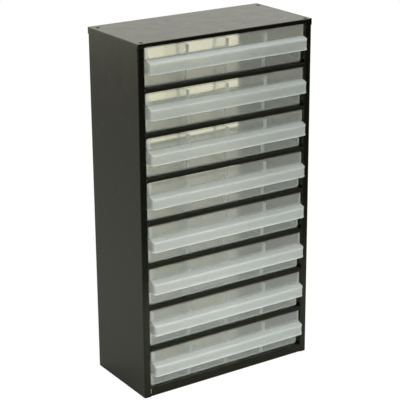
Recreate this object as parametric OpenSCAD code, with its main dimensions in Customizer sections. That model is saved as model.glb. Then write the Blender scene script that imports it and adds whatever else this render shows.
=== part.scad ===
// Parts bin cabinet: a spot-welded case of folded sheet steel with one column of translucent
// plastic drawers, each divided by loose plates that stand in moulded slots.
// Millimetres. X runs across the front, Y from front to back, Z up. The origin is on the
// ground, under the middle of the overall size. Rows are counted from the top.

/* [Case] */
// Width over the top cap
case_w = 310; // [260:1:360]
// Depth of the top cap from front to back
case_d = 145; // [125:1:180]
// Thickness of the folded sheet
sheet = 1; // [0.8:0.1:1.3]
// Outside radius of the folds
fold_r = 2; // [1.5:0.1:3]
// Width of a side panel's front stile
stile_w = 11.5; // [7:0.5:14]
// Depth of the lip folded back from a stile
stile_return = 10; // [5:0.5:14]
// Width of a side panel's rear flange
rear_flange_w = 36; // [15:1:60]
// Height of the lowest floor above the ground
base_h = 14; // [8:0.5:30]
// Depth of the foot folded under the base pan's front
base_foot = 8; // [5:0.5:15]

/* [Top cap] */
// Height of the cap's front skirt
cap_front_h = 6.2; // [4:0.1:9.5]
// Height of the cap's side and rear skirts
cap_skirt_h = 10; // [7:0.5:20]
// Outside radius of the cap's top edges
cap_edge_r = 1.5; // [1:0.1:2.5]
// Diameter of the four fixing holes
cap_hole_d = 7; // [4:0.5:8]
// Distance from a side edge of the cap to a hole's centre
cap_hole_side = 9.5; // [7:0.5:30]
// Distance from the cap's front edge to the front holes
cap_hole_front = 6.5; // [6:0.5:30]
// Distance from the cap's rear edge to the rear holes
cap_hole_rear = 16; // [7:0.5:30]

/* [Shelves] */
// Height of the rail that fronts a shelf
rail_h = 6.2; // [5:0.1:12]
// Outside radius of the fold along the top of a rail
rail_r = 2; // [1.5:0.1:3]
// Height of the hem folded up behind a rail
hem_h = 3.5; // [2:0.1:3.6]
// Depth of a shelf's welded side flanges
shelf_flange_h = 8; // [4:0.5:20]
// Height of the upstand along a shelf's rear edge
upstand_h = 4; // [2.5:0.5:10]
// Height of the beads that guide a drawer
bead_h = 3; // [1:0.5:6]
// Width of a guide bead
bead_w = 2; // [1:0.5:4]
// Gap between a drawer and its guide bead
bead_gap = 0.8; // [0.4:0.1:2]

/* [Drawers] */
// Number of drawers, one above another
drawer_rows = 8; // [2:1:10]
// Height of a drawer
drawer_h = 60; // [50:1:90]
// Wall thickness
drawer_wall = 1.8; // [1.2:0.1:2.5]
// Floor thickness
drawer_floor = 2; // [1.2:0.1:3]
// Radius of the upright corners
drawer_corner_r = 5; // [3.5:0.5:6]
// Radius of the long bottom edges
drawer_edge_r = 4; // [3:0.5:6]
// Gap between a drawer and the lips beside it
drawer_side_gap = 1.5; // [1.3:0.1:4]
// Gap above a drawer's rim
drawer_top_gap = 1; // [0.5:0.1:3]
// Running gap under a drawer
drawer_rest_gap = 0.3; // [0.2:0.05:0.6]
// Gap behind a closed drawer
drawer_rear_gap = 1; // [0.5:0.1:4]
// Distance of a drawer's upper front behind the face of the case
drawer_set_back = 0; // [0:0.5:7]
// Distance of the lower front behind the upper front
front_step = 6; // [2:0.5:8]
// Length of a drawer that stays in the case when it is open
hold_in = 30; // [20:1:60]
// Height of the stop ears above the rim
ear_h = 3.2; // [2:0.1:4.5]
// Length of a stop ear
ear_l = 12; // [6:1:15]
// Gap left between an ear and the rail at the end of the travel
stop_gap = 0.3; // [0.2:0.1:1]

/* [Finger pull] */
// Height of the hood's lower edge above the drawer's bottom
pull_low = 22; // [12:0.5:25]
// Height of the hood's upright face
pull_h = 17; // [12:0.5:20]
// Distance that the hood stands out from the upper front
pull_reach = 11; // [10:0.5:18]
// Fall of the hood's top from the upper front to the face
pull_fall = 3; // [0.5:0.5:4]
// Distance from a drawer's side to the end of its hood
pull_inset = 1; // [1:0.5:20]
// Radius of the hood's upright corners
pull_corner_r = 5; // [3:0.5:6]
// Radius of the edge between the hood's top and face
pull_edge_r = 1.5; // [0.5:0.1:2.5]

/* [Dividers] */
// Number of dividers in a drawer
divider_count = 3; // [1:1:3]
// Thickness of a divider
divider_t = 1.5; // [1:0.1:2.5]
// Distance from a divider's top to the drawer's rim
divider_drop = 4; // [1:0.5:10]
// Gap on each side of a divider in its slot
slot_gap = 0.25; // [0.1:0.05:0.5]
// Gap between a divider's edge and the wall behind it
edge_gap = 0.4; // [0.2:0.1:1]
// Width of a slot's ribs
rib_w = 1.4; // [1:0.1:2]
// Depth of a slot's ribs
rib_d = 2; // [1.2:0.1:4]

/* [Hidden] */
case_color = [0.14, 0.14, 0.13];
drawer_color = [0.84, 0.86, 0.82, 0.6];
divider_color = [0.88, 0.89, 0.86, 0.6];
$fn = 64;
past = 1;      // how far a cutting shape runs past the face that it cuts
notch_gap = 0.5; // room between a shelf's notch and the stile lip in it

// Planes across the depth
overhang = pull_reach - drawer_set_back - sheet; // of the hoods in front of the cap
cap_back_y = (case_d + overhang) / 2;
cap_front_y = cap_back_y - case_d;
face_y = cap_front_y + sheet;
back_y = cap_back_y - sheet;
shelf_back_y = back_y - sheet;
hem_y = face_y + 2 * sheet; // rear face of a rail's hem, which the ears stop against
drawer_y = face_y + drawer_set_back;
lower_front_y = drawer_y + front_step;
drawer_back_y = shelf_back_y - sheet - drawer_rear_gap;
pull_y = drawer_y - pull_reach;
ear_y = hem_y + stop_gap + drawer_back_y - face_y - hold_in;

// Planes across the width
side_x = case_w / 2 - sheet;
wall_x = side_x - sheet;
stile_x = side_x - stile_w;
drawer_x = stile_x - drawer_side_gap;
inner_x = drawer_x - drawer_wall;
pull_x = drawer_x - pull_inset;

// Heights
bay_h = drawer_rest_gap + drawer_h + drawer_top_gap;
case_h = base_h + drawer_rows * bay_h + (drawer_rows - 1) * rail_h + cap_front_h;
step_top = pull_low + pull_h + pull_fall; // where the upper front meets the hood
step_under = step_top - drawer_wall;
divider_top = drawer_h - divider_drop;

function floor_z(row) = base_h + (drawer_rows - row) * (bay_h + rail_h);
function divider_x(n) = 2 * inner_x * (n / (divider_count + 1) - 0.5);
function shelf_name(row) = str("shelf_", row);
function drawer_name(row) = str("drawer_", row);
function divider_name(row, n) = str("drawer_", row, "_divider_", n);

// Points along an arc about [x, y], between two angles
function arc(x, y, r, from, to, steps = 8) =
    [for (i = [0:steps]) let (a = from + (to - from) * i / steps) [x + r * cos(a), y + r * sin(a)]];

// A flat outline swept along one axis: drawn as Y, Z along X; as X, Z along Y; as X, Y along Z
module along_x(from, to) {
    translate([from, 0, 0]) rotate([90, 0, 90]) linear_extrude(to - from) children();
}

module along_y(from, to) {
    translate([0, to, 0]) rotate([90, 0, 0]) linear_extrude(to - from) children();
}

module along_z(from, to) {
    translate([0, 0, from]) linear_extrude(to - from) children();
}

module block(low, high) {
    translate(low) cube(high - low);
}

module rect(low, high) {
    translate(low) square(high - low);
}

module rounded_rect(low, high, r) {
    rect([low.x + r, low.y], [high.x - r, high.y]);
    rect([low.x, low.y + r], [high.x, high.y - r]);
    for (x = [low.x + r, high.x - r], y = [low.y + r, high.y - r]) {
        translate([x, y]) circle(r);
    }
}

module both_sides() {
    children();
    mirror([1, 0, 0]) children();
}

// A quarter turn of sheet about a centre, in the quadrant that the signs in turn name
module fold(centre, r, turn) {
    translate(centre) intersection() {
        difference() {
            circle(r);
            circle(r - sheet);
        }
        rect([min(turn.x, 0) * r, min(turn.y, 0) * r], [max(turn.x, 0) * r, max(turn.y, 0) * r]);
    }
}

// ---- Case ----

module cap_shell() {
    low = case_h - cap_skirt_h;
    intersection() {
        along_z(low, case_h)
            rounded_rect([-case_w / 2, cap_front_y], [case_w / 2, cap_back_y], fold_r + sheet);
        along_y(cap_front_y, cap_back_y)
            rounded_rect([-case_w / 2, low - cap_skirt_h], [case_w / 2, case_h], cap_edge_r);
        along_x(-case_w / 2, case_w / 2)
            rounded_rect([cap_front_y, low - cap_skirt_h], [cap_back_y, case_h], cap_edge_r);
    }
}

module cap_holes() {
    for (x = [-1, 1] * (case_w / 2 - cap_hole_side),
         y = [cap_front_y + cap_hole_front, cap_back_y - cap_hole_rear]) {
        translate([x, y, case_h - sheet - past]) cylinder(d = cap_hole_d, h = sheet + 2 * past);
    }
}

module top_cap() color(case_color) {
    front_low = case_h - cap_front_h;
    difference() {
        cap_shell();
        along_z(case_h - cap_skirt_h - past, case_h - sheet)
            rounded_rect([-side_x, face_y], [side_x, back_y], fold_r);
        block([-case_w, cap_front_y - past, case_h - cap_skirt_h - past],
              [case_w, face_y, front_low]);
        cap_holes();
    }
    // Hem of the front skirt, between the stiles
    block([-stile_x, face_y - sheet / 2, front_low], [stile_x, face_y + sheet, case_h - sheet / 2]);
}

// Plan of the right-hand side panel: lip, stile, wall and rear flange, with a fold between each
module side_plan() {
    front = face_y + fold_r;
    rear = back_y - fold_r;
    rect([stile_x, front], [stile_x + sheet, face_y + stile_return]);
    fold([stile_x + fold_r, front], fold_r, [-1, -1]);
    rect([stile_x + fold_r, face_y], [side_x - fold_r, face_y + sheet]);
    fold([side_x - fold_r, front], fold_r, [1, -1]);
    rect([wall_x, front], [side_x, rear]);
    fold([side_x - fold_r, rear], fold_r, [1, 1]);
    rect([side_x - rear_flange_w, back_y - sheet], [side_x - fold_r, back_y]);
}

module right_side() color(case_color) {
    along_z(0, case_h - sheet) side_plan();
}

module left_side() {
    mirror([1, 0, 0]) right_side();
}

// Side view of a floor, its rear upstand and the fold at its front, with z = 0 on the floor
module floor_profile() {
    rear = shelf_back_y - fold_r;
    fold([face_y + rail_r, -rail_r], rail_r, [-1, 1]);
    rect([face_y + rail_r, -sheet], [rear, 0]);
    fold([rear, fold_r - sheet], fold_r, [1, -1]);
    rect([shelf_back_y - sheet, fold_r - sheet], [shelf_back_y, upstand_h]);
}

// Rail of a shelf, closed by a hem folded up behind it
module rail_profile() {
    rect([face_y, sheet - rail_h], [face_y + sheet, -rail_r]);
    intersection() {
        translate([face_y + sheet, sheet - rail_h]) circle(sheet);
        rect([face_y, -rail_h], [hem_y, sheet - rail_h]);
    }
    rect([face_y + sheet, sheet - rail_h], [hem_y, hem_h - rail_h]);
}

// Front of the base pan, down to a foot on the ground
module base_profile() {
    rect([face_y, fold_r - base_h], [face_y + sheet, -rail_r]);
    fold([face_y + fold_r, fold_r - base_h], fold_r, [-1, -1]);
    rect([face_y + fold_r, -base_h], [face_y + base_foot, sheet - base_h]);
}

// A floor with the front that its children draw. It is notched round the stile lips.
module floor_pan(flange_h) {
    notch_y = face_y + stile_return + notch_gap;
    bead_x = drawer_x + bead_gap;
    difference() {
        along_x(-wall_x, wall_x) {
            floor_profile();
            children();
        }
        both_sides() block([stile_x, face_y - past, -base_h - rail_h], [side_x, notch_y, past]);
    }
    both_sides() {
        block([wall_x - sheet, notch_y, -flange_h], [wall_x, shelf_back_y - fold_r, -sheet / 2]);
        block([bead_x, notch_y + bead_w, -sheet / 2],
              [bead_x + bead_w, shelf_back_y - fold_r - bead_w, bead_h]);
    }
}

module shelf(row) color(case_color) {
    translate([0, 0, floor_z(row)]) floor_pan(shelf_flange_h) rail_profile();
}

module base_pan() color(case_color) {
    translate([0, 0, base_h]) floor_pan(base_h) base_profile();
}

// ---- Drawers, drawn with z = 0 on the bottom ----

// Plan of a drawer, drawn in from its outside by a wall or by nothing
module drawer_plan(front_y, wall) {
    rounded_rect([wall - drawer_x, front_y + wall], [drawer_x - wall, drawer_back_y - wall],
                 drawer_corner_r - wall);
}

// Front view of a drawer: square at the rim, rounded along the bottom
module drawer_front_view(wall, bottom) {
    rounded_rect([wall - drawer_x, bottom], [drawer_x - wall, 2 * drawer_h], drawer_edge_r - wall);
}

module drawer_outside() {
    intersection() {
        union() {
            along_z(0, step_under + past) drawer_plan(lower_front_y, 0);
            along_z(step_under, drawer_h) drawer_plan(drawer_y, 0);
        }
        along_y(drawer_y - past, drawer_back_y + past) drawer_front_view(0, 0);
    }
}

module drawer_inside() {
    intersection() {
        union() {
            along_z(0, step_top + past) drawer_plan(lower_front_y, drawer_wall);
            along_z(step_top, drawer_h + past) drawer_plan(drawer_y, drawer_wall);
        }
        along_y(drawer_y, drawer_back_y) drawer_front_view(drawer_wall, drawer_floor);
    }
}

// Side view of the hood, drawn in from its outside by a wall or by nothing
module pull_side_view(wall, back, low) {
    face = pull_y + wall;
    r = max(pull_edge_r - wall, 0.2);
    slope = pull_fall / pull_reach;
    root = step_top - wall;
    top = root - slope * (drawer_y - face);
    tilt = atan(slope);
    turn = r * tan((90 - tilt) / 2); // from the corner to where its arc starts
    polygon(concat(
        [[back, low], [back, root], [drawer_y, root]],
        arc(face + r, top - turn, r, 90 + tilt, 180),
        [[face, low]]
    ));
}

module pull_plan(wall, back) {
    rounded_rect([wall - pull_x, pull_y + wall], [pull_x - wall, back + pull_corner_r],
                 pull_corner_r - wall);
}

module pull() {
    root_y = lower_front_y + drawer_wall / 2;
    difference() {
        intersection() {
            along_x(-pull_x, pull_x) pull_side_view(0, root_y, pull_low);
            along_z(0, drawer_h) pull_plan(0, root_y);
        }
        intersection() {
            along_x(-pull_x, pull_x) pull_side_view(drawer_wall, lower_front_y, pull_low - past);
            along_z(0, drawer_h) pull_plan(drawer_wall, root_y);
        }
    }
}

// The two ribs of one slot, on the lower front, the upper front and the back
module slot_ribs() {
    side = divider_t / 2 + slot_gap;
    both_sides() {
        block([side, lower_front_y + drawer_wall / 2, drawer_floor / 2],
              [side + rib_w, lower_front_y + drawer_wall + rib_d, step_top]);
        block([side, drawer_y + drawer_wall / 2, step_top - drawer_wall / 2],
              [side + rib_w, drawer_y + drawer_wall + rib_d, divider_top]);
        block([side, drawer_back_y - drawer_wall - rib_d, drawer_floor / 2],
              [side + rib_w, drawer_back_y - drawer_wall / 2, divider_top]);
    }
}

module stop_ears() {
    both_sides() block([inner_x, ear_y, drawer_h - past], [drawer_x, ear_y + ear_l, drawer_h + ear_h]);
}

module drawer(row) color(drawer_color) {
    translate([0, 0, floor_z(row) + drawer_rest_gap]) {
        difference() {
            drawer_outside();
            drawer_inside();
        }
        pull();
        for (n = [1:divider_count]) translate([divider_x(n), 0, 0]) slot_ribs();
        stop_ears();
    }
}

// Side view of a divider. It follows the step in the drawer's front.
module divider_side_view() {
    lower = lower_front_y + drawer_wall + edge_gap;
    upper = drawer_y + drawer_wall + edge_gap;
    back = drawer_back_y - drawer_wall - edge_gap;
    polygon([
        [lower, drawer_floor], [back, drawer_floor], [back, divider_top], [upper, divider_top],
        [upper, step_top + edge_gap], [lower, step_top + edge_gap]
    ]);
}

module divider(row, n) color(divider_color) {
    translate([divider_x(n), 0, floor_z(row) + drawer_rest_gap])
        along_x(-divider_t / 2, divider_t / 2) divider_side_view();
}

top_cap();
left_side();
right_side();
base_pan();
for (row = [1:drawer_rows - 1]) {
    shelf(row);
}
for (row = [1:drawer_rows]) {
    drawer(row);
}
for (row = [1:drawer_rows], n = [1:divider_count]) {
    divider(row, n);
}
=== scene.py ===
"""Parts bin cabinet: the looks of a folded-steel case with eight translucent plastic drawers.

Sizes are in millimetres in the row frame (X across the front, Y from front to back, Z up) and
become metres as each mesh is made. Lamps, shaders and camera are in metres.
"""

import math

import bpy
import numpy as np
from mathutils import Matrix, Vector


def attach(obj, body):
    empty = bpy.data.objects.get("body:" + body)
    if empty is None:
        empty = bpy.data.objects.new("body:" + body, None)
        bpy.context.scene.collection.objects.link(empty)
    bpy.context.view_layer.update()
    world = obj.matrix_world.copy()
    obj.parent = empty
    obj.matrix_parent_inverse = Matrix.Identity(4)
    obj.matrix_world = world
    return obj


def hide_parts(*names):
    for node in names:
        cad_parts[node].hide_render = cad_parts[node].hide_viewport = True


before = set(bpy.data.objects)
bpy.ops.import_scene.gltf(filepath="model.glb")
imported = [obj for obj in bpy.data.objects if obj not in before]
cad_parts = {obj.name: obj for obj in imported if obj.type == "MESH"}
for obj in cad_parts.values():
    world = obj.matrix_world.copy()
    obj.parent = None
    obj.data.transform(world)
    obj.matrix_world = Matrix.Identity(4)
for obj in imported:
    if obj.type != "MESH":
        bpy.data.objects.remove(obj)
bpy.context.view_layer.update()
scene = bpy.context.scene

# ---- Sizes, as in the part's source ----

MM = 0.001
ROWS = 8
PITCH = 67.5            # from one drawer to the next
LOWEST = 14.3           # underside of the lowest drawer
DRAWER_X = 141.0        # half the drawer's width
DRAWER_H = 60.0
WALL = 1.8
FLOOR = 2.0
UPPER_Y = -66.5         # upper front
LOWER_Y = -60.5         # lower front
BACK_Y = 73.5
STEP_TOP = 42.0         # ledge between the two fronts
CORNER = 5.0
EDGE = 4.0              # long bottom edges

PULL_Y = -77.5
PULL_X = 140.0
PULL_LOW = 22.0
PULL_SLOPE = 3.0 / 11.0
ROOT_Y = -59.2          # where the hood ends, inside the lower front

DIVIDER_X = (-69.6, 0.0, 69.6)
DIVIDER_T = 1.5
DIVIDER_TOP = 56.0
DIVIDER_GAP = 0.4       # from a plate's edge to the wall beside it
RIB_SIDE = 1.0          # from a slot's middle to its rib
RIB_W = 1.4
RIB_D = 2.0

EAR_Y = (45.8, 57.8)
EAR_Z = (59.0, 63.2)

# ---- Sizes of the small forms that the solids leave out ----

CORNER_STEPS = 8        # faces round a drawer's upright corner
EDGE_IN_Y = 1.5         # how far the bottom edges draw in at the front and back, outside
INNER_EDGE_IN_Y = 1.2   # and inside
LEAST_R = 1.0           # of an upright corner
RIM_R = 0.6
ROOT_STRIP = 5.5        # from the ledge's underside to the top of the strip that holds the pull
# Both sides of the ledge, going along each: height over the side's flat, and the share of the
# way from the lower to the upper front.
LEDGE_UNDER = ((-0.5, 0), (-0.15, 0.03), (0, 0.11), (0, 0.89), (0.15, 0.97), (0.5, 1))
LEDGE_OVER = ((0.6, 1), (0.18, 0.96), (0, 0.87), (0, 0.13), (-0.18, 0.04), (-0.6, 0))

PULL_CORNER_STEPS = 6
PULL_LEAST_R = 0.4
LIP_STEPS = 8
HOLLOW_Y = ROOT_Y - 0.7     # rear end of the pull's hollow
HOLLOW_R = 0.8
PULL_R = 1.5
TOP_SINK = 0.7              # how far the pull's top drops where it is rooted
SINK_Y = (UPPER_Y + 1.5, UPPER_Y + 0.5)     # points of the plan between which it drops
# The face lies a little behind its border: height over the lip or, below 0, under the top; inset.
FACE_PROFILE = ((1.7, 0), (2.2, 0.12), (2.9, 0.46), (3.4, 0.55),
                (-3.4, 0.55), (-2.9, 0.46), (-2.3, 0.12), (-1.9, 0))

PLATE_CHAMFER = 0.25
RIB_BLUNT = 0.35        # how far the ribs' corners are cut
EAR_BLUNT = 1.0
SUNK = 0.9              # how far inside the face of a wall or the ledge a rib begins
RIB_FOOT = 1.0          # where the ribs begin, inside the floor
WELD_GAP = 0.00001      # in metres


# ---- Meshes ----

def piece(name, points, faces):
    """An object at the origin with the points, in millimetres, and the faces that index them."""
    mesh = bpy.data.meshes.new(name)
    mesh.from_pydata((np.asarray(points, float) * MM).tolist(), [], faces)
    made = bpy.data.objects.new(name, mesh)
    scene.collection.objects.link(made)
    return made


def give_resins(made, names, index):
    """Gives the mesh the named resins, and each face the one at its place in index."""
    for name in names:
        made.data.materials.append(RESINS[name])
    made.data.polygons.foreach_set("material_index", np.asarray(index, np.int32))


def quads(rings, count):
    """Faces between stacked rings of count points: point j of ring i joins j + 1 and ring i + 1."""
    i, j = np.meshgrid(np.arange(rings - 1), np.arange(count), indexing="ij")
    k = (j + 1) % count
    return np.stack([i * count + j, i * count + k, (i + 1) * count + k, (i + 1) * count + j],
                    -1).reshape(-1, 4).tolist()


def arc(x, y, r, start, turn, steps):
    """Points at (x + r cos a, y + r sin a), where a runs from start through turn, in degrees."""
    a = np.radians(start + turn * np.linspace(0, 1, steps + 1))
    return np.stack([x + r * np.cos(a), y + r * np.sin(a)], -1)


def quarter(steps):
    """Sines and cosines of a quarter turn in equal steps."""
    a = np.radians(np.linspace(0, 90, steps + 1))
    return np.sin(a), np.cos(a)


def plan_ring(half, front, back, r):
    """Rounded rectangle, anticlockwise from above: four quarter arcs about its inset corners."""
    return np.concatenate([
        arc(-half + r, front + r, r, 180, 90, CORNER_STEPS),
        arc(half - r, front + r, r, 270, 90, CORNER_STEPS),
        arc(half - r, back - r, r, 0, 90, CORNER_STEPS),
        arc(-half + r, back - r, r, 90, 90, CORNER_STEPS)])


def tub():
    """Closed shell of a drawer as a stack of plan rings.

    Each row of the table is one ring: its height, its inset from the outside across the width
    and along the depth, and how far the front plane stands between the lower front (0) and the
    upper front (1). The rings climb the outside, turn over the rim and go down the inside.
    Edges are quarter circles: inset r (1 - sin a) at height r (1 - cos a).

    A band is what lies between two rings. Upright corners and bent bands have the milkier corner
    resin, partly the whiter look of curved plastic and partly a painted highlight. So has the ledge
    in front. The strip of the front that holds the pull has its own, lighter resin, partly painted
    light.
    """
    sin, cos = quarter(6)
    rows = [(EDGE * (1 - c), EDGE * (1 - s), EDGE_IN_Y * (1 - s), 0) for s, c in zip(sin, cos)]
    under = STEP_TOP - WALL
    rows += [(under + rise, 0, 0, up) for rise, up in LEDGE_UNDER]
    rows += [(under + ROOT_STRIP, 0, 0, 1)]
    rows += [(DRAWER_H - RIM_R * (1 - s), RIM_R * (1 - c), RIM_R * (1 - c), 1)
             for s, c in zip(sin[::2], cos[::2])]
    rows += [(DRAWER_H - RIM_R * (1 - s), WALL - RIM_R * (1 - c), WALL - RIM_R * (1 - c), 1)
             for s, c in zip(sin[::-2], cos[::-2])]
    rows += [(STEP_TOP + rise, WALL, WALL, up) for rise, up in LEDGE_OVER]
    r = EDGE - WALL
    rows += [(FLOOR + r * (1 - c), WALL + r * (1 - s), WALL + INNER_EDGE_IN_Y * (1 - s), 0)
             for s, c in zip(sin[::-1], cos[::-1])]
    rings = []
    for z, dx, dy, up in rows:
        ring = plan_ring(DRAWER_X - dx, LOWER_Y + (UPPER_Y - LOWER_Y) * up + dy, BACK_Y - dy,
                         max(CORNER - max(dy, dx / 2), LEAST_R))
        rings.append(np.c_[ring, np.full(len(ring), z)])
    count = len(rings[0])
    last = (len(rings) - 1) * count
    faces = quads(len(rings), count)
    faces += [list(range(count))[::-1], list(range(last, last + count))]
    made = piece("tub", np.concatenate(rings), faces)

    # The kinds of the bands in the order of the rings, each with its number of bands.
    kinds = (("bent", 6), ("flat", 2), ("ledge", 4), ("root", 1), ("flat", 9), ("ledge", 5),
             ("flat", 1), ("bent", 6))
    band = np.repeat([kind for kind, number in kinds for _ in range(number)], count)
    point = np.arange(last) % count
    front = point == CORNER_STEPS
    corner = point % (CORNER_STEPS + 1) < CORNER_STEPS
    bent = corner | (band == "bent") | front & (band == "ledge")
    index = np.where(bent, 1, np.where(front & (band == "root"), 2, 0))
    give_resins(made, ("drawer", "corner", "root"), np.r_[index, 0, 0])
    return made


def hood_ring(inset, rear):
    """Plan of the finger pull at an inset: up the left side, round the front, down the right."""
    half = PULL_X - inset
    r = max(CORNER - inset, PULL_LEAST_R)
    middle = PULL_Y + CORNER
    left = [(-half, y) for y in (rear, *SINK_Y)]
    return np.concatenate([
        left, arc(-PULL_X + CORNER, middle, r, 180, 90, PULL_CORNER_STEPS),
        arc(PULL_X - CORNER, middle, r, 270, 90, PULL_CORNER_STEPS),
        [(-x, y) for x, y in left[::-1]]])


def hood_top(y):
    """Height of the pull's top: a plane that falls towards the front, sunk where it is rooted."""
    return np.where(y < SINK_Y[1] + 0.05, STEP_TOP - PULL_SLOPE * (UPPER_Y - y),
                    STEP_TOP - TOP_SINK)


def hood():
    """Closed hood, open below, as a stack of hood_ring plans.

    The rings go from the hollow's ceiling down its inside, round the lip, up the face and over
    the edge of the top. Rounded edges are quarter circles: inset r (1 - sin a) at r (1 - cos a)
    below the ceiling or the sloping top. The lip is a half circle across the wall.

    The lip, the rounded upper edge and the top, with its sunk part, have resins of their own:
    milkier ones that paint highlights along the lip and the edge, and paint light from above on the
    top.
    """
    sin, cos = quarter(5)
    rings = []
    for s, c in zip(sin, cos):
        ring = hood_ring(WALL + HOLLOW_R * (1 - s), HOLLOW_Y)
        ceiling = STEP_TOP - WALL - PULL_SLOPE * (UPPER_Y - ring[:, 1])
        rings.append(np.c_[ring, ceiling - HOLLOW_R * (1 - c)])
    n = len(rings[0])
    for angle in np.linspace(0, 180, LIP_STEPS + 1):
        turn = math.radians(angle)
        ring = hood_ring(WALL / 2 * (1 + math.cos(turn)), HOLLOW_Y if angle < 90 else ROOT_Y)
        rings.append(np.c_[ring, np.full(n, PULL_LOW + WALL / 2 * (1 - math.sin(turn)))])
    for height, inset in FACE_PROFILE:
        ring = hood_ring(inset, ROOT_Y)
        z = np.full(n, PULL_LOW + height) if height > 0 else hood_top(ring[:, 1]) + height
        rings.append(np.c_[ring, z])
    for s, c in zip(sin[::-1], cos[::-1]):
        ring = hood_ring(PULL_R * (1 - s), ROOT_Y)
        rings.append(np.c_[ring, hood_top(ring[:, 1]) - PULL_R * (1 - c)])
    k = (len(rings) - 1) * n
    ceiling = list(range(n))[::-1]
    slope = list(range(k + 2, k + n - 2))
    drop = [k + 1, k + 2, k + n - 3, k + n - 2]
    sunk = [k, k + 1, k + n - 2, k + n - 1]
    faces = quads(len(rings), n) + [ceiling, slope, drop, sunk]
    made = piece("hood", np.concatenate(rings), faces)

    # The resins of the bands in the order of the rings, each with its number of bands.
    pull, edge, lip, ledge = range(4)
    resins = ((pull, 6), (lip, 10), (pull, 6), (edge, 6))
    index = np.repeat([resin for resin, number in resins for _ in range(number)], n)
    give_resins(made, ("pull", "edge", "lip", "ledge"), np.r_[index, pull, ledge, ledge, ledge])
    return made


def bars(name, resin, low, high, along, blunt):
    """Closed bars from low to high corners with their long edges blunted.

    Each bar is an eight-sided outline, its corners cut by blunt, carried between two planes of
    the axis along.
    """
    low, high = np.asarray(low, float), np.asarray(high, float)
    u, v = [k for k in range(3) if k != along]
    share = np.array([(0, 1), (1, 0), (1, 0), (0, 1), (0, 1), (1, 0), (1, 0), (0, 1)])
    corner = np.array([(0, 0), (0, 0), (1, 0), (1, 0), (1, 1), (1, 1), (0, 1), (0, 1)])
    inward = np.where(corner == 0, 1, -1) * share * blunt
    outline = np.zeros((len(low), 8, 2))
    for k, axis in enumerate((u, v)):
        outline[..., k] = (low[:, None, axis] + (high - low)[:, None, axis] * corner[:, k]
                           + inward[:, k])
    points = np.zeros((len(low), 2, 8, 3))
    points[..., u] = outline[:, None, :, 0]
    points[..., v] = outline[:, None, :, 1]
    points[:, 0, :, along] = low[:, None, along]
    points[:, 1, :, along] = high[:, None, along]
    ring = np.arange(8)
    sides = np.stack([ring, (ring + 1) % 8, (ring + 1) % 8 + 8, ring + 8], -1)
    faces = []
    for k in range(len(low)):
        faces += (sides + 16 * k).tolist()
        faces += [(ring[::-1] + 16 * k).tolist(), (ring + 8 + 16 * k).tolist()]
    made = piece(name, points.reshape(-1, 3), faces)
    made.data.materials.append(RESINS[resin])
    return made


def slot_bars():
    """Two ribs for every divider, on the lower front, the upper front and the back."""
    low, high = [], []
    for x in DIVIDER_X:
        for side in (RIB_SIDE, -RIB_SIDE - RIB_W):
            for y0, y1, z0, z1 in (
                    (LOWER_Y + SUNK, LOWER_Y + WALL + RIB_D, RIB_FOOT, STEP_TOP - 0.3),
                    (UPPER_Y + SUNK, UPPER_Y + WALL + RIB_D, STEP_TOP - SUNK, DIVIDER_TOP),
                    (BACK_Y - WALL - RIB_D, BACK_Y - SUNK, RIB_FOOT, DIVIDER_TOP)):
                low.append((x + side, y0, z0))
                high.append((x + side + RIB_W, y1, z1))
    return bars("slots", "rib", low, high, 2, RIB_BLUNT)


def ear_bars():
    """The two stop ears that stand on the rim near the back."""
    inner, outer = DRAWER_X - WALL + 0.1, DRAWER_X - 0.1
    return bars("ears", "drawer", [(inner, EAR_Y[0], EAR_Z[0]), (-outer, EAR_Y[0], EAR_Z[0])],
                [(outer, EAR_Y[1], EAR_Z[1]), (-inner, EAR_Y[1], EAR_Z[1])], 0, EAR_BLUNT)


def finished(made, flat):
    """The mesh of an object with its modifiers applied, smooth but for edges sharper than flat.

    Corner normals are weighted by face area, so large flats stay flat beside rounded edges.
    """
    made.data.shade_smooth()
    graph = bpy.context.evaluated_depsgraph_get()
    mesh = bpy.data.meshes.new_from_object(made.evaluated_get(graph))
    made.modifiers.clear()
    made.data = mesh
    mesh.shade_smooth()
    mesh.set_sharp_from_angle(angle=math.radians(flat))
    weigh = made.modifiers.new("weigh", "WEIGHTED_NORMAL")
    weigh.keep_sharp = True
    weigh.weight = 80
    graph = bpy.context.evaluated_depsgraph_get()
    mesh = bpy.data.meshes.new_from_object(made.evaluated_get(graph))
    bpy.data.objects.remove(made)
    return mesh


def drawer_mesh():
    """One drawer: the union of its tub, hood, slot ribs and ears, each in its own resins."""
    body = tub()
    others = (hood(), slot_bars(), ear_bars())
    for other in others:
        join = body.modifiers.new(other.name, "BOOLEAN")
        join.operation = "UNION"
        join.solver = "EXACT"
        join.material_mode = "TRANSFER"
        join.object = other
    mesh = finished(body, flat=30)
    for other in others:
        bpy.data.objects.remove(other)
    return mesh


def divider_mesh(x):
    """A plate whose side view follows the step in the drawer's front.

    The outline is drawn in by a small inset on the two faces, which chamfers its edges. Rim and
    chamfers have the milkier resin of the ribs.
    """
    lower, upper = LOWER_Y + WALL + DIVIDER_GAP, UPPER_Y + WALL + DIVIDER_GAP
    back = BACK_Y - WALL - DIVIDER_GAP
    step = STEP_TOP + DIVIDER_GAP
    corners = np.array([(lower, FLOOR), (back, FLOOR), (back, DIVIDER_TOP), (upper, DIVIDER_TOP),
                        (upper, step), (lower, step)])
    inward = np.array([(1, 1), (-1, 1), (-1, -1), (1, -1), (1, 1), (1, 1)])
    count = len(corners)
    half, cut = DIVIDER_T / 2, PLATE_CHAMFER
    rings = [np.c_[np.full(count, x + dx), corners + inward * inset]
             for dx, inset in ((-half, cut), (cut - half, 0), (half - cut, 0), (half, cut))]
    rims = quads(len(rings), count)
    last = (len(rings) - 1) * count
    sides = [list(range(count))[::-1], list(range(last, last + count))]
    made = piece("plate", np.concatenate(rings), rims + sides)
    give_resins(made, ("divider", "rib"), [1] * len(rims) + [0] * len(sides))
    return finished(made, flat=60)


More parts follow.
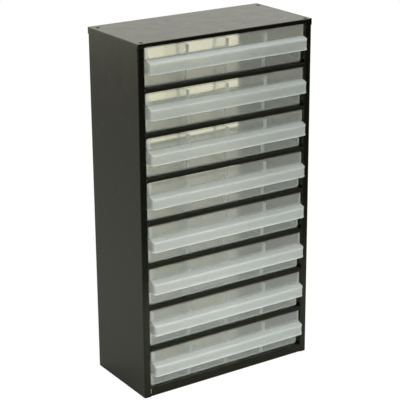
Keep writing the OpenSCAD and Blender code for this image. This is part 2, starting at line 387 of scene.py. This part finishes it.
def steel_mesh(node, paint):
    """A merged copy of a folded steel part in its paint, with its folds shaded round."""
    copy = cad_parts[node].copy()
    copy.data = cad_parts[node].data.copy()
    copy.parent = None
    copy.name = "copy"
    scene.collection.objects.link(copy)
    weld = copy.modifiers.new("weld", "WELD")
    weld.merge_threshold = WELD_GAP
    mesh = finished(copy, flat=35)
    mesh.materials.clear()
    mesh.materials.append(paint)
    return mesh


# ---- Materials ----

CLEAR, CLEAR_DEEP = (0.97, 0.98, 0.965, 1), (0.955, 0.965, 0.95, 1)     # tints of the glass
HAZE, HAZE_DEEP = (0.885, 0.965, 0.955, 1), (0.87, 0.945, 0.935, 1)     # and of its milky share
BACKDROP = (1.0, 0.94, 0.7, 1)      # the pale cream that shows through the drawers
WARM_WHITE = (1.0, 0.99, 0.92, 1)
WHITE, BLACK = (1, 1, 1, 1), (0, 0, 0, 1)


def add(tree, kind, inputs=None, **settings):
    """A node of a tree with its settings and input values."""
    made = tree.nodes.new(kind)
    for key, value in settings.items():
        setattr(made, key, value)
    for key, value in (inputs or {}).items():
        if isinstance(value, bpy.types.NodeSocket):
            tree.links.new(value, made.inputs[key])
        else:
            made.inputs[key].default_value = value
    return made


def material(name):
    """A new material with its node tree and its Principled node."""
    mat = bpy.data.materials.new(name)
    mat.use_nodes = True
    return mat, mat.node_tree, mat.node_tree.nodes["Principled BSDF"]


def grain_group():
    """Fine uneven grain: value noise at two sizes, spread between a low and a high value."""
    tree = bpy.data.node_groups.new("surface_grain", "ShaderNodeTree")
    tree.interface.new_socket("Vector", in_out="INPUT", socket_type="NodeSocketVector")
    for socket, value in (("Coarse", 60.0), ("Fine", 900.0), ("Low", 0.3), ("High", 0.4)):
        made = tree.interface.new_socket(socket, in_out="INPUT", socket_type="NodeSocketFloat")
        made.default_value = value
    for socket in ("Value", "Height"):
        tree.interface.new_socket(socket, in_out="OUTPUT", socket_type="NodeSocketFloat")
    given = tree.nodes.new("NodeGroupInput")
    result = tree.nodes.new("NodeGroupOutput")
    coarse = add(tree, "ShaderNodeTexNoise", {"Vector": given.outputs["Vector"],
                 "Scale": given.outputs["Coarse"], "Detail": 3.0, "Roughness": 0.6})
    fine = add(tree, "ShaderNodeTexNoise", {"Vector": given.outputs["Vector"],
               "Scale": given.outputs["Fine"], "Detail": 2.0, "Roughness": 0.5})
    both = add(tree, "ShaderNodeMix", {0: 0.35, 2: coarse.outputs[0], 3: fine.outputs[0]})
    spread = add(tree, "ShaderNodeMapRange", {"Value": both.outputs[0], "From Min": 0.35,
                 "From Max": 0.65, "To Min": given.outputs["Low"],
                 "To Max": given.outputs["High"]})
    tree.links.new(spread.outputs[0], result.inputs["Value"])
    tree.links.new(fine.outputs[0], result.inputs["Height"])
    return tree


def grained(tree, vector, coarse, fine, low, high):
    """The grain group in a material's tree."""
    return add(tree, "ShaderNodeGroup", {"Vector": vector, "Coarse": coarse, "Fine": fine,
               "Low": low, "High": high}, node_tree=GRAIN)


def case_paint(name, rough, dark, pale, gloss):
    """Near-black powder coat: orange-peel bump, and roughness uneven between two values."""
    mat, tree, coat = material(name)
    place = add(tree, "ShaderNodeTexCoord")
    peel = grained(tree, place.outputs["Object"], 45.0, 1100.0, *rough)
    tint = add(tree, "ShaderNodeMix", {0: peel.outputs["Height"], 6: dark, 7: pale},
               data_type="RGBA")
    bump = add(tree, "ShaderNodeBump", {"Strength": 0.12, "Distance": 0.0002,
               "Height": peel.outputs["Height"]})
    tree.links.new(tint.outputs[2], coat.inputs["Base Color"])
    tree.links.new(peel.outputs["Value"], coat.inputs["Roughness"])
    tree.links.new(bump.outputs[0], coat.inputs["Normal"])
    coat.inputs["IOR"].default_value = 1.55
    coat.inputs["Specular IOR Level"].default_value = gloss
    coat.inputs["Specular Tint"].default_value = (0.96, 1.0, 0.66, 1)
    return mat


def clear_plastic(name, rough, milk):
    """Milky clear plastic: rough glass mixed with a share, milk, of pale matt haze.

    Rays towards a lamp pass straight through with a pale tint, so that the lamps light what is
    in a drawer.
    """
    mat, tree, clear = material(name)
    place = add(tree, "ShaderNodeTexCoord")
    flow = add(tree, "ShaderNodeMapping", {"Vector": place.outputs["Object"],
               "Scale": (1.0, 0.35, 1.0)})
    uneven = grained(tree, flow.outputs[0], 55.0, 150.0, rough, rough * 1.3)
    tint = add(tree, "ShaderNodeMix", {0: uneven.outputs["Height"], 6: CLEAR_DEEP, 7: CLEAR},
               data_type="RGBA")
    pale = add(tree, "ShaderNodeMix", {0: uneven.outputs["Height"], 6: HAZE_DEEP, 7: HAZE},
               data_type="RGBA")
    bump = add(tree, "ShaderNodeBump", {"Strength": 0.01, "Distance": 0.0002,
               "Height": uneven.outputs["Height"]})
    tree.links.new(tint.outputs[2], clear.inputs["Base Color"])
    tree.links.new(uneven.outputs["Value"], clear.inputs["Roughness"])
    tree.links.new(bump.outputs[0], clear.inputs["Normal"])
    clear.inputs["IOR"].default_value = 1.49
    clear.inputs["Transmission Weight"].default_value = 1.0
    haze = add(tree, "ShaderNodeBsdfPrincipled", {"Base Color": pale.outputs[2], "IOR": 1.49,
               "Roughness": 0.45, "Normal": bump.outputs[0]})
    milky = add(tree, "ShaderNodeMixShader", {0: milk, 1: clear.outputs[0], 2: haze.outputs[0]})
    path = add(tree, "ShaderNodeLightPath")
    through = add(tree, "ShaderNodeBsdfTransparent", {"Color": (0.93, 0.925, 0.9, 1)})
    mix = add(tree, "ShaderNodeMixShader", {0: path.outputs["Is Shadow Ray"],
              1: milky.outputs[0], 2: through.outputs[0]})
    tree.links.new(mix.outputs[0], tree.nodes["Material Output"].inputs["Surface"])
    return mat


def straight_through(tree, path):
    """1 for camera rays and for rays fresh out of clear plastic that met nothing matt, or 0."""
    clear = add(tree, "ShaderNodeMath", {0: path.outputs["Diffuse Depth"], 1: 0.5},
                operation="LESS_THAN")
    clear = add(tree, "ShaderNodeMath", {0: clear.outputs[0],
                1: path.outputs["Is Transmission Ray"]}, operation="MULTIPLY")
    return add(tree, "ShaderNodeMath", {0: path.outputs["Is Camera Ray"], 1: clear.outputs[0]},
               operation="MAXIMUM")


def backdrop_tone(tree, path):
    """White, or the backdrop's cream for rays that come out of clear plastic."""
    return add(tree, "ShaderNodeMix", {0: path.outputs["Is Transmission Ray"], 6: WHITE,
               7: BACKDROP}, data_type="RGBA").outputs[2]


def smooth_range(tree, value, start, end, low, high):
    """A smooth step from low at the value start to high at the value end."""
    return add(tree, "ShaderNodeMapRange", {"Value": value, "From Min": start, "From Max": end,
               "To Min": low, "To Max": high}, interpolation_type="SMOOTHSTEP").outputs[0]


def floor_paint():
    """Pale floor that the camera sees nearly at full white, less its shadow.

    The rest of it is matt, and its tone is painted shade that follows Y: dark well in front of the
    object, pale beside it and, but for mirrored rays, half as pale behind it. Mirrored rays see
    0.42 of the front tone all over, a painted dark reflection in the steel.
    """
    mat, tree, matt = material("floor_white")
    matt.inputs["Roughness"].default_value = 0.7
    place = add(tree, "ShaderNodeTexCoord")
    split = add(tree, "ShaderNodeSeparateXYZ", {0: place.outputs["Object"]})
    # Painted shade: the matt floor darkens well in front of the object and behind it; mirrored rays
    # get a painted darker reflection.
    front = smooth_range(tree, split.outputs[1], -0.56, -0.26, 0.05, 0.9)
    rear = smooth_range(tree, split.outputs[1], -0.05, 0.2, 1.0, 0.5)
    path = add(tree, "ShaderNodeLightPath")
    shine = add(tree, "ShaderNodeMix", {0: path.outputs["Is Glossy Ray"], 2: rear, 3: 0.42})
    tone = add(tree, "ShaderNodeMath", {0: front, 1: shine.outputs[0]}, operation="MULTIPLY")
    tint = add(tree, "ShaderNodeMix", {0: tone.outputs[0], 6: BLACK, 7: WHITE}, data_type="RGBA")
    tree.links.new(tint.outputs[2], matt.inputs["Base Color"])
    glow = add(tree, "ShaderNodeEmission", {"Color": backdrop_tone(tree, path),
               "Strength": 1.07})
    seen = straight_through(tree, path)
    share = add(tree, "ShaderNodeMath", {0: seen.outputs[0], 1: 0.9}, operation="MULTIPLY")
    mix = add(tree, "ShaderNodeMixShader", {0: share.outputs[0], 1: matt.outputs[0],
              2: glow.outputs[0]})
    tree.links.new(mix.outputs[0], tree.nodes["Material Output"].inputs["Surface"])
    return mat


GRAIN = grain_group()
PAINT = case_paint("case_paint", (0.2, 0.28), (0.0022, 0.0023, 0.0018, 1),
                   (0.0038, 0.0038, 0.003, 1), 0.5)
SHELF_PAINT = case_paint("shelf_paint", (0.4, 0.5), (0.0055, 0.0058, 0.0035, 1),
                         (0.0085, 0.0088, 0.0055, 1), 0.22)
# The milkier corner, edge, lip, ledge and root resins are partly the whiter look of thick or curved
# plastic and partly painted highlight and painted light from above.
RESINS = {name: clear_plastic(name + "_plastic", rough, milk) for name, rough, milk in (
    ("drawer", 0.08, 0.075), ("pull", 0.3, 0.15), ("edge", 0.45, 0.35), ("lip", 0.35, 0.42),
    ("root", 0.12, 0.15), ("ledge", 0.35, 0.38), ("corner", 0.15, 0.25), ("rib", 0.2, 0.45),
    ("divider", 0.04, 0.035))}


# ---- The object ----

def show(name, mesh, body, node):
    """Puts a finished mesh in the scene as the look of a CAD node."""
    mesh.name = name
    made = bpy.data.objects.new(name, mesh)
    scene.collection.objects.link(made)
    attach(made, body)
    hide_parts(node)


for node in ("top_cap", "left_side", "right_side", "base_pan"):
    show(node + "_steel", steel_mesh(node, PAINT), "case", node)
for row in range(1, ROWS):
    node = f"shelf_{row}"
    show(node + "_steel", steel_mesh(node, SHELF_PAINT), "case", node)

drawer = drawer_mesh()
plates = [divider_mesh(x) for x in DIVIDER_X]
for row in range(1, ROWS + 1):
    lift = Matrix.Translation((0, 0, (LOWEST + (ROWS - row) * PITCH) * MM))
    body = f"drawer_unit_{row}"
    mesh = drawer.copy()
    mesh.transform(lift)
    show(f"drawer_{row}_tub", mesh, body, f"drawer_{row}")
    for n, plate in enumerate(plates, 1):
        mesh = plate.copy()
        mesh.transform(lift)
        show(f"drawer_{row}_plate_{n}", mesh, body, f"drawer_{row}_divider_{n}")


# ---- Floor, light and camera ----

def soft_box(name, place, size, watts, aim=(0, 0, 0.25), mirrored=True):
    """A square area lamp of that side, turned from its place towards the aim.

    One that stands for light off the floor isn't mirrored in the paint.
    """
    data = bpy.data.lights.new(name, "AREA")
    data.shape = "SQUARE"
    data.size = size
    data.energy = watts
    lamp = bpy.data.objects.new(name, data)
    lamp.matrix_world = Matrix.Translation(place) @ (
        Vector(place) - Vector(aim)).to_track_quat("Z", "Y").to_matrix().to_4x4()
    lamp.visible_glossy = lamp.visible_transmission = lamp.visible_camera = mirrored
    scene.collection.objects.link(lamp)


def room():
    """World: white for the camera, and the backdrop's cream through the plastic.

    For all other rays it is a warm white whose brightness follows the ray's direction: full
    behind the object, dark at the level of the floor in front, and paler overhead.
    """
    world = bpy.data.worlds.new("room")
    world.use_nodes = True
    scene.world = world
    tree = world.node_tree
    back = tree.nodes["Background"]
    way = add(tree, "ShaderNodeTexCoord")
    split = add(tree, "ShaderNodeSeparateXYZ", {0: way.outputs["Generated"]})
    behind = smooth_range(tree, split.outputs[1], -0.35, 0.25, 0.04, 1.0)
    above = smooth_range(tree, split.outputs[2], 0.2, 0.8, 0.0, 0.8)
    shine = add(tree, "ShaderNodeMath", {0: behind, 1: above}, operation="MAXIMUM")
    path = add(tree, "ShaderNodeLightPath")
    seen = straight_through(tree, path)
    level = add(tree, "ShaderNodeMix", {0: seen.outputs[0], 2: shine.outputs[0], 3: 1.0})
    tone = add(tree, "ShaderNodeMix", {0: seen.outputs[0], 6: WARM_WHITE,
               7: backdrop_tone(tree, path)}, data_type="RGBA")
    tree.links.new(tone.outputs[2], back.inputs["Color"])
    tree.links.new(level.outputs[0], back.inputs["Strength"])


def camera_matrix(azimuth, elevation, roll, distance, across, up, target):
    """Orbit camera: stands off a target along a direction, moved across and up in its own view."""
    az, el, r = (math.radians(v) for v in (azimuth, elevation, roll))
    back = Vector((math.sin(az) * math.cos(el), -math.cos(az) * math.cos(el), math.sin(el)))
    side = Vector((0, 0, 1)).cross(back).normalized()
    top = back.cross(side)
    x = math.cos(r) * side + math.sin(r) * top
    y = math.cos(r) * top - math.sin(r) * side
    place = Vector(target) + distance * back + across * x + up * y
    turn = Matrix((x, y, back)).transposed().to_4x4()
    return Matrix.Translation(place) @ turn


FLOOR_X, FLOOR_FRONT, FLOOR_BACK = 1500, -1150, 2200      # in millimetres
floor = piece("floor", [(-FLOOR_X, FLOOR_FRONT, 0), (FLOOR_X, FLOOR_FRONT, 0),
                        (FLOOR_X, FLOOR_BACK, 0), (-FLOOR_X, FLOOR_BACK, 0)], [[0, 1, 2, 3]])
floor.data.materials.append(floor_paint())

soft_box("overhead", (0.0, 0.1, 2.1), size=1.6, watts=24)
soft_box("front", (-0.9, -1.7, 0.6), size=1.0, watts=4)
soft_box("off_floor", (0.0, -0.45, 0.03), size=0.5, watts=2.8, aim=(0, 0, 0.15), mirrored=False)
room()

PHOTO_PX = 400
FOCAL_PX = 1392.78      # focal length in the photograph's pixels
lens = bpy.data.cameras.new("camera")
lens.sensor_width = 36.0
lens.lens = FOCAL_PX / PHOTO_PX * lens.sensor_width
camera = bpy.data.objects.new("camera", lens)
camera.matrix_world = camera_matrix(
    azimuth=-33.1672, elevation=19.2753, roll=-0.4391, distance=2.1791, across=-0.00459,
    up=-0.00491, target=(0, 0.003, 0.2775))
scene.collection.objects.link(camera)
scene.camera = camera
scene.view_settings.view_transform = "Standard"
scene.cycles.sample_clamp_indirect = 1.0
scene.cycles.max_bounces = 20
scene.cycles.transmission_bounces = 20
scene.cycles.transparent_max_bounces = 24
